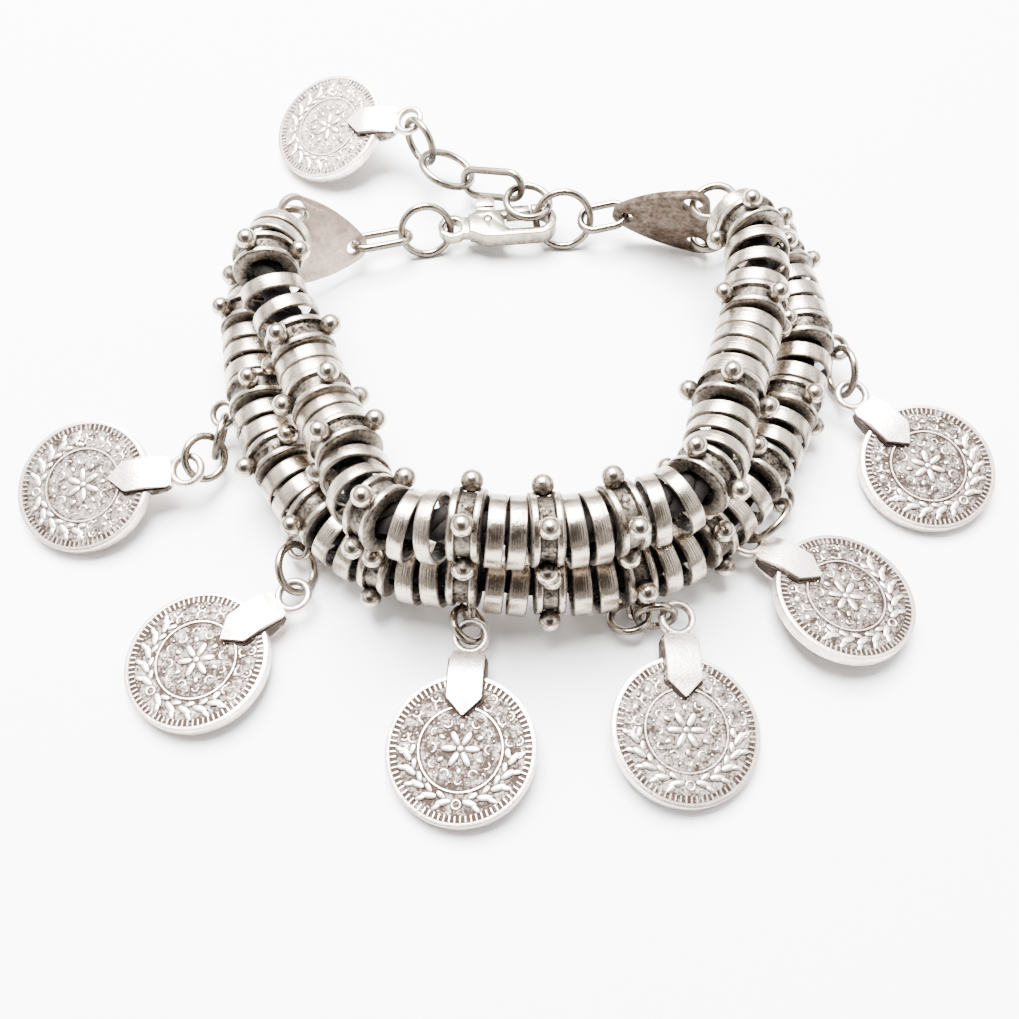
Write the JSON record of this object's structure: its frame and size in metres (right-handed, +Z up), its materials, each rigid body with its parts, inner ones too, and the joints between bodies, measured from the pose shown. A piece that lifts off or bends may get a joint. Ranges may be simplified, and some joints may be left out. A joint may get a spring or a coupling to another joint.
{
  "type": "coin bracelet",
  "caption": "Folk bracelet of ring beads on cords, with coins hung from jump rings, gathering plates, a closing chain with a spring clasp and an extension chain.",
  "frame": {"origin": "on the surface that the bracelet lies on, under the middle of its box", "axes": "+Z up from the surface, +X to the wearer's right as seen from the front, +Y from the front coins to the clasp"},
  "size_m": [0.116, 0.105, 0.0216],
  "materials": {
    "coin_silver": "worn antiqued silver, bright on the raised edges",
    "bead_silver": "antiqued silver, dark in the hollows",
    "wire_silver": "polished wire, a little darkened",
    "hammered_metal": "matte hammered, pinkish grey",
    "clasp_metal": "cast and tumbled, satin",
    "dark_cord": "dark braided cord with a faint metallic thread"
  },
  "bodies": {
    "bracelet": {"coin_1": "coin_silver", "coin_2": "coin_silver", "coin_3": "coin_silver", "coin_4": "coin_silver", "coin_5": "coin_silver", "coin_6": "coin_silver", "coin_7": "coin_silver", "coin_link_1": "wire_silver", "coin_link_1b": "wire_silver", "coin_link_2": "wire_silver", "coin_link_3": "wire_silver", "coin_link_4": "wire_silver", "coin_link_4b": "wire_silver", "coin_link_5": "wire_silver", "coin_link_6": "wire_silver", "upper_beads": "bead_silver", "lower_beads": "bead_silver", "upper_cord": "dark_cord", "lower_cord": "dark_cord", "cord_cap_1": "bead_silver", "cord_cap_2": "bead_silver", "cord_cap_3": "bead_silver", "cord_cap_4": "bead_silver", "left_plate": "hammered_metal", "right_plate": "hammered_metal", "plate_ring_1": "wire_silver", "plate_ring_2": "wire_silver", "plate_ring_3": "wire_silver", "plate_ring_4": "wire_silver", "left_oval_link": "wire_silver", "left_round_link": "wire_silver", "right_round_link": "wire_silver", "right_oval_link": "wire_silver", "clasp_body": "clasp_metal", "extension_link_1": "wire_silver", "extension_link_2": "wire_silver", "extension_link_3": "wire_silver", "extension_link_4": "wire_silver"},
    "lever": {"clasp_lever": "clasp_metal"}
  },
  "joints": [
    {"name": "clasp_lever_hinge", "type": "hinge", "parent": "bracelet", "child": "lever", "pos_m": [-0.00291, 0.02749, 0.00322], "axis": [0, 0, -1], "range_deg": [0, 25], "stiffness_Nm_per_rad": 0.002}
  ]
}
